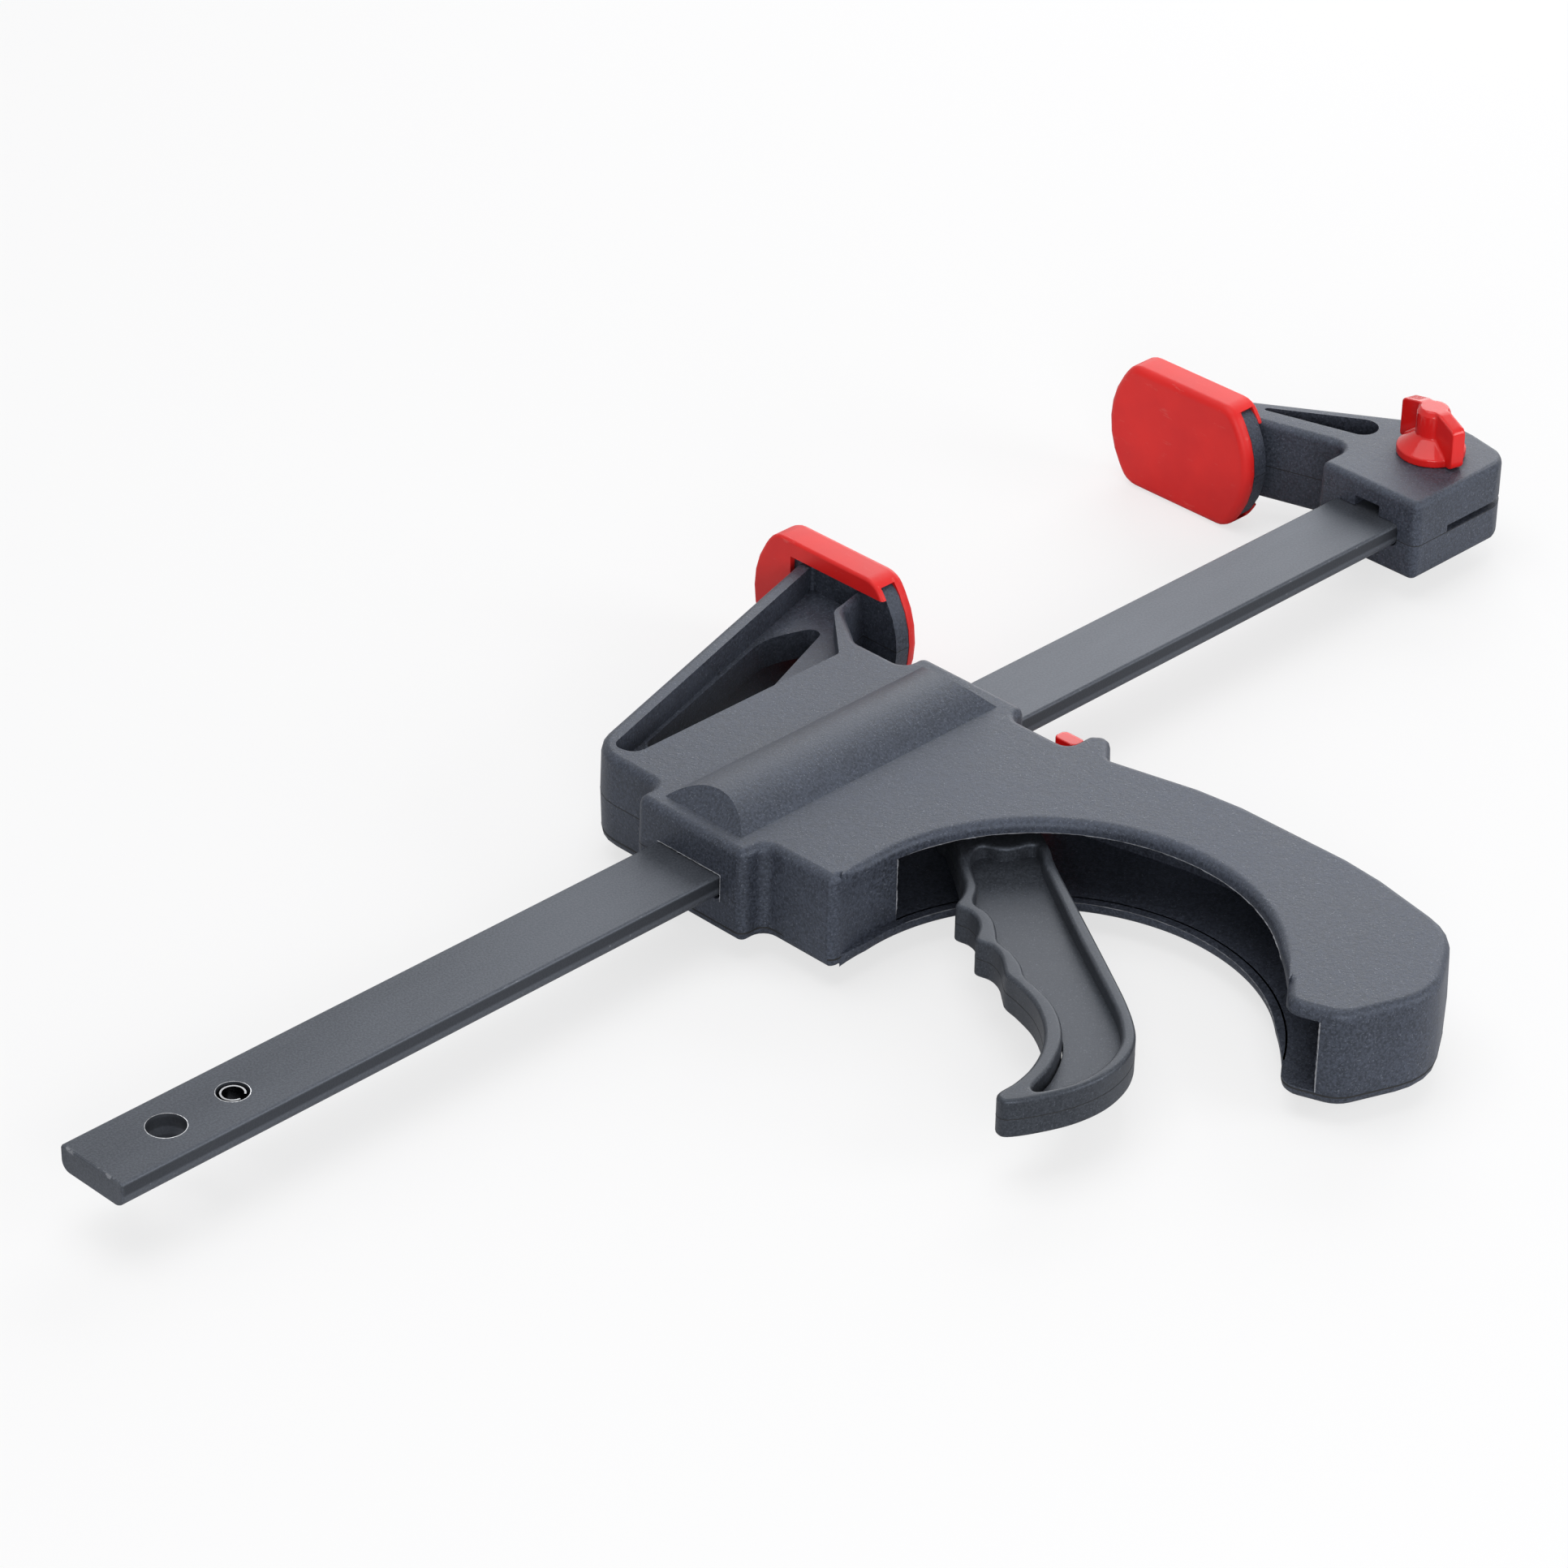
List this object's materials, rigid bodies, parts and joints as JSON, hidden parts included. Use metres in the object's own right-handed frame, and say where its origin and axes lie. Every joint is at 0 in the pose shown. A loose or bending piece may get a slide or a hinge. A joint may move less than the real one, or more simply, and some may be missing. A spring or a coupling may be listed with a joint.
{
  "type": "quick release bar clamp",
  "caption": "Trigger bar clamp: flat steel bar, fixed jaw pinched on by a wing screw, sliding housing with curved handle, trigger, release lever and slip-on jaw pads.",
  "frame": {"origin": "on the axis of the hole at the bar's free end, at the bar's mid-thickness", "axes": "+X along the bar to the fixed jaw, +Y across the bar to the pads, +Z along the end hole, up from the side that the clamp lies on"},
  "size_m": [0.4227, 0.2274, 0.039],
  "materials": {
    "bar_steel": "dark grey phosphate or powder coat, satin",
    "plated_steel": "bright zinc plate",
    "hard_steel": "oiled hardened plate",
    "spring_steel": "drawn wire",
    "grey_nylon": "fine spark-textured, dark slate grey",
    "trigger_nylon": "finer texture, nearly black",
    "pad_rubber": "soft red plastic, satin",
    "red_plastic": "smooth red, glossy"
  },
  "bodies": {
    "bar_group": {"bar": "bar_steel", "stop_pin": "plated_steel", "fixed_jaw": "grey_nylon", "fixed_pad": "pad_rubber", "jaw_nut": "plated_steel"},
    "slide_head": {"housing": "grey_nylon", "moving_pad": "pad_rubber", "trigger_pin": "plated_steel", "drive_spring": "spring_steel", "brake_spring": "spring_steel"},
    "trigger": {"trigger": "trigger_nylon"},
    "drive": {"drive_plate_front": "hard_steel", "drive_plate_rear": "hard_steel"},
    "brake": {"brake_plate": "hard_steel", "release_lever": "red_plastic"},
    "wing_screw": {"clamp_screw": "plated_steel", "wing_knob": "red_plastic"}
  },
  "joints": [
    {"name": "head_slide", "type": "slide", "parent": "bar_group", "child": "slide_head", "axis": [1, 0, 0], "range_m": [-0.122, 0.1128]},
    {"name": "trigger_pivot", "type": "hinge", "parent": "slide_head", "child": "trigger", "pos_m": [0.19931, -0.0305, 0], "axis": [0, 0, 1], "range_deg": [0, 30], "stiffness_Nm_per_rad": 0.25},
    {"name": "drive_slide", "type": "slide", "parent": "slide_head", "child": "drive", "axis": [-1, 0, 0], "range_m": [0, 0.0085], "deforming": ["drive_spring"]},
    {"name": "brake_pivot", "type": "hinge", "parent": "slide_head", "child": "brake", "pos_m": [0.21695, 0.01565, 0], "axis": [0, 0, -1], "range_deg": [0, 6], "stiffness_Nm_per_rad": 0.2, "springref_deg": -2.86, "deforming": ["brake_spring"]},
    {"name": "wing_turn", "type": "hinge", "parent": "bar_group", "child": "wing_screw", "pos_m": [0.388, 0, 0], "axis": [0, 0, 1], "range_deg": [0, 360]}
  ],
  "couplings": [
    {"joint": "drive_slide", "follows": "trigger_pivot", "m_per_rad": 0.01582}
  ]
}
